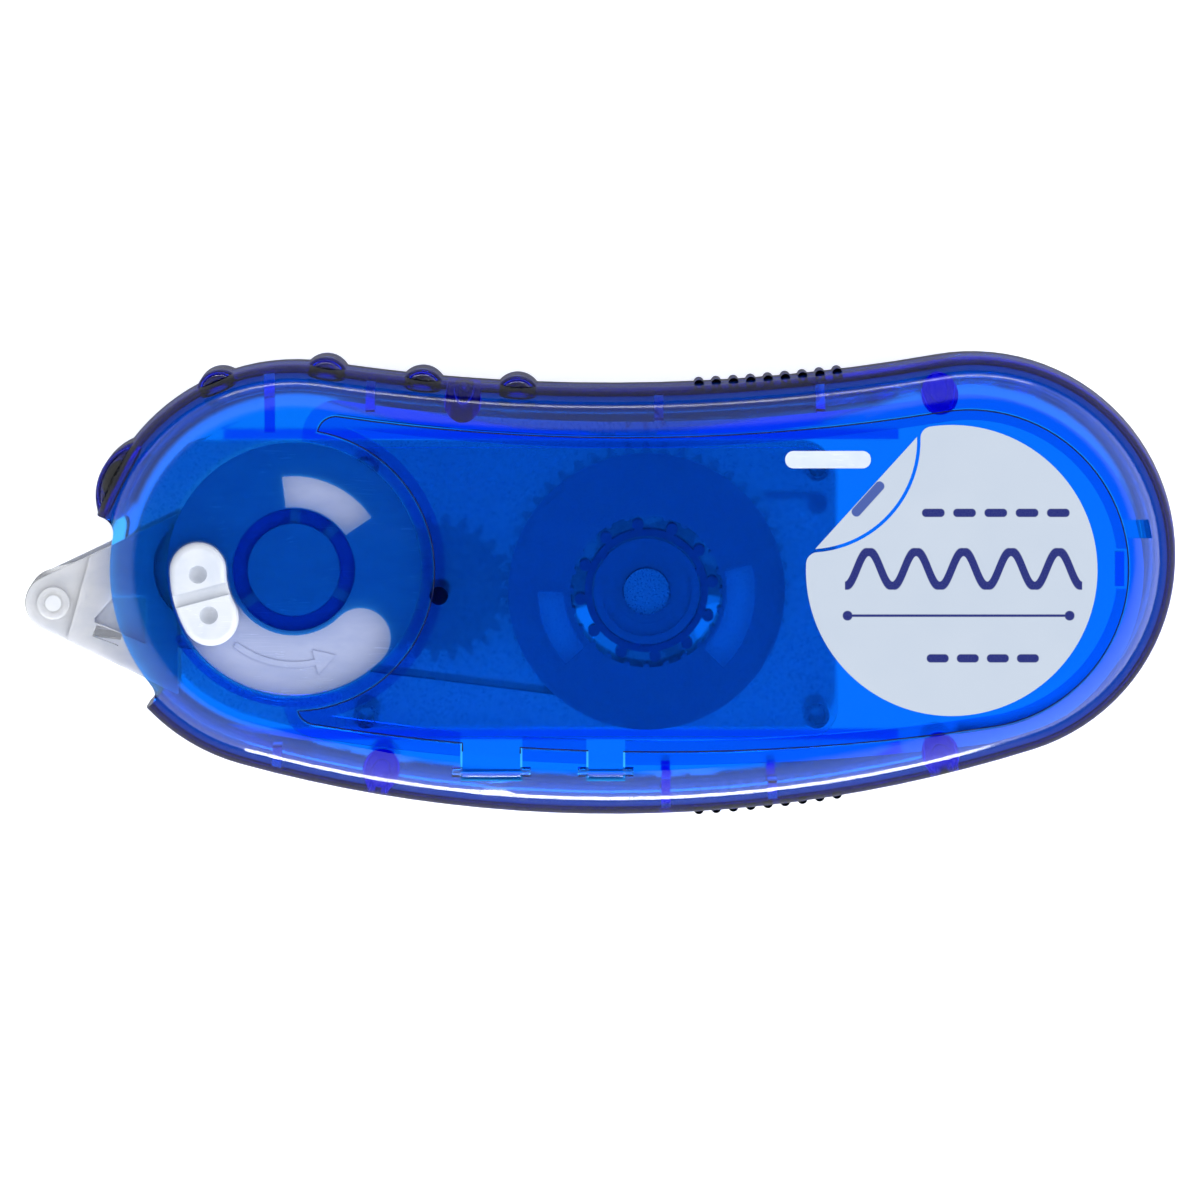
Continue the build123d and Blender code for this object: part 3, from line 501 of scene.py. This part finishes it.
doorBar = {  # millimetres
    "length": 7.4,
    "height": 1.5,
    "film": 0.04,
    "place": (19.6, 11.1),
    "colour": shade(186, 193, 205),
    "shadow": shade(176, 185, 200),
}


def barOnDoor():
    # a flat bar with round ends, on the door's front face
    startPiece()
    x, y = doorBar["place"]
    middle = Vector((x, y, doorBar["film"] / 2)) * millimetre
    middle.z += topOf("refill_door")
    bpy.ops.mesh.primitive_cube_add(size=1.0, location=middle)
    bar = bpy.context.object
    size = [doorBar[key] * millimetre for key in ("length", "height", "film")]
    bpy.ops.transform.resize(value=size)
    bpy.ops.object.transform_apply(location=True, rotation=True, scale=True)
    bpy.ops.object.mode_set(mode="EDIT")
    bpy.ops.mesh.select_mode(type="EDGE")
    bpy.ops.mesh.select_all(action="DESELECT")
    bpy.ops.object.mode_set(mode="OBJECT")
    for edge in bar.data.edges:
        first, second = (bar.data.vertices[index].co for index in edge.vertices)
        edge.select = abs(first.z - second.z) > hair
    bpy.ops.object.mode_set(mode="EDIT")
    bpy.ops.mesh.bevel(offset=doorBar["height"] * 0.48 * millimetre, segments=10, affect="EDGES")
    bpy.ops.object.mode_set(mode="OBJECT")
    ink = solidPlastic("barInk", doorBar["colour"], doorBar["shadow"], 0.4)
    endPiece(bar, "door_bar", "door", ink)
    print("door bar")


paintGapShadeRoundDoor()
barOnDoor()

studio = {
    "tilt": radians(3.6),
    "distance": 1.2,
    "frameWidth": 0.1045,
    "sensor": 36.0,
    "clip": (0.05, 20.0),
    "aim": Vector((-0.0001, -0.0016, 0.0088)),
    "floorSize": 8.0,
    "floorGap": 0.00002,
    "floorColour": (0.93, 0.94, 0.95, 1.0),
    "floorLight": 0.42,
    "cardColour": (0.2, 0.2, 0.22, 1.0),  # the same floor as the object's own light meets it
    "glow": (0.94, 0.97, 1.0, 1.0),
    "floorGlow": 1.2,
}
# azimuth, elevation, distance, width, height, watts
lamps = {
    "lowStrip": (-90, 11, 0.7, 0.45, 0.12, 4.2),
    "highStrip": (92, 17, 0.8, 0.7, 0.06, 1.0),
}


def addCamera():
    tilt, distance = studio["tilt"], studio["distance"]
    away = Vector((0, sin(tilt), cos(tilt))) * distance
    bpy.ops.object.camera_add(location=studio["aim"] + away, rotation=(-tilt, 0, 0))
    camera = bpy.context.object
    camera.data.sensor_width = studio["sensor"]
    camera.data.lens = studio["sensor"] * distance / studio["frameWidth"]
    camera.data.clip_start, camera.data.clip_end = studio["clip"]
    scene.camera = camera


def addLamps():
    for name, (azimuth, elevation, distance, width, height, watts) in lamps.items():
        around, up = radians(azimuth), radians(elevation)
        way = Vector((cos(around) * cos(up), sin(around) * cos(up), sin(up)))
        bpy.ops.object.light_add(type="AREA", location=studio["aim"] + way * distance)
        lamp = bpy.context.object
        lamp.name = name
        lamp.rotation_euler = way.to_track_quat("Z", "Y").to_euler()
        lamp.data.shape = "RECTANGLE"
        lamp.data.size = width
        lamp.data.size_y = height
        lamp.data.energy = watts


# circles that the case's outline is made of, middle and radius in millimetres; they shape the
# floor's painted glow and the painted shadow band along the outline
outline = {
    "nose": ((-26.6, 1.5), 17.9),
    "tail": ((32.3, 2.4), 17.7),
    "lowerEdge": ((0.97, 101.9), 122.0),
    "upperEdge": ((0.71, 182.3), 166.2),
    "head": ((-41.0, -1.6), 10.5),
    "noseEnd": (-28.0, -25.0),  # where the long edges take over from the end circles
    "tailEnd": (30.0, 34.0),
    # how far inside the outline the painted glow starts; the band outside it is painted shadow
    "inset": 2.0,
    "blur": 0.8,
}


def paintedGlowUnderCase(place):
    # 1 under the middle of the case and 0 near its outline: a painted glow, shaped like the case,
    # that lights it from below, with painted shadow along the outline that darkens the case's
    # edges
    x, y = [along / millimetre for along in parts(place)[:2]]

    def within(name):
        (middleX, middleY), radius = outline[name]
        return radius - lengthOf(x - middleX, y - middleY)

    between = x.step(*outline["noseEnd"]) * x.step(*outline["tailEnd"], 1.0, 0.0)
    # the waist is inside the lower edge's circle and outside the upper edge's
    waist = within("lowerEdge").least(within("upperEdge") * -1) * between
    inside = within("nose").most(within("tail")).most(waist).most(within("head"))
    return inside.step(outline["inset"] - outline["blur"], outline["inset"] + outline["blur"])


def addFloor():
    bpy.ops.object.select_all(action="DESELECT")
    low = cadBox[0][2] - studio["floorGap"]
    bpy.ops.mesh.primitive_plane_add(size=studio["floorSize"], location=(0, 0, low))
    floor = bpy.context.object
    floor.name = "floor"
    material, place = newMaterial("paleFloor")
    seen = place.add("ShaderNodeLightPath", {}, {}, "Is Camera Ray")
    pale = place.add("ShaderNodeBsdfPrincipled", {}, {
        "Base Color": studio["floorColour"],
        "Roughness": 0.7,
        "Emission Color": (1.0, 1.0, 1.0, 1.0),
        "Emission Strength": studio["floorLight"],
    })
    card = place.add("ShaderNodeBsdfPrincipled", {}, {
        "Base Color": studio["cardColour"],
        "Roughness": 0.8,
        # painted light and shadow: only rays that are not the camera's see this card, which glows
        # under the case and is dark near its outline
        "Emission Color": mixed(paintedGlowUnderCase(place), (0.0, 0.0, 0.0, 1.0), studio["glow"]),
        "Emission Strength": studio["floorGlow"],
    })
    output(place.add("ShaderNodeMixShader", {}, {0: seen, 1: card, 2: pale}))
    floor.data.materials.append(material)


sky = {
    "colour": (0.94, 0.97, 1.0, 1.0),
    "strength": 4.2,
    # height above the floor as a sine, and brightness: dark near the floor and right overhead
    "levels": ((0.16, 0.02), (0.21, 0.75), (0.34, 0.6), (0.45, 0.5), (0.64, 0.46), (0.85, 0.42),
               (0.955, 0.36), (0.986, 0.003)),
}


def setWorld():
    world = bpy.data.worlds.new("studioWorld")
    scene.world = world
    world.use_nodes = True
    tree = world.node_tree
    back = tree.nodes["Background"]
    way = parts(Wire(tree, tree.nodes.new("ShaderNodeTexCoord").outputs["Generated"]))
    stops = [(at, (grey, grey, grey, 1.0)) for at, grey in sky["levels"]]
    height = way[2].add("ShaderNodeValToRGB", {"stops": stops}, {"Fac": way[2]})
    around = 0.75 - way[1] * 0.45 + way[0].most(0.0) ** 2.0  # brighter towards the tail and below
    level = height * around * sky["strength"]
    back.inputs["Color"].default_value = sky["colour"]
    tree.links.new(level.socket, back.inputs["Strength"])


addCamera()
addLamps()
addFloor()
setWorld()
scene.view_settings.view_transform = "Standard"
scene.cycles.max_bounces = 28  # light crosses many clear walls
scene.cycles.transmission_bounces = 28
scene.cycles.diffuse_bounces = 6
scene.cycles.glossy_bounces = 6
scene.cycles.transparent_max_bounces = 8
print("studio")
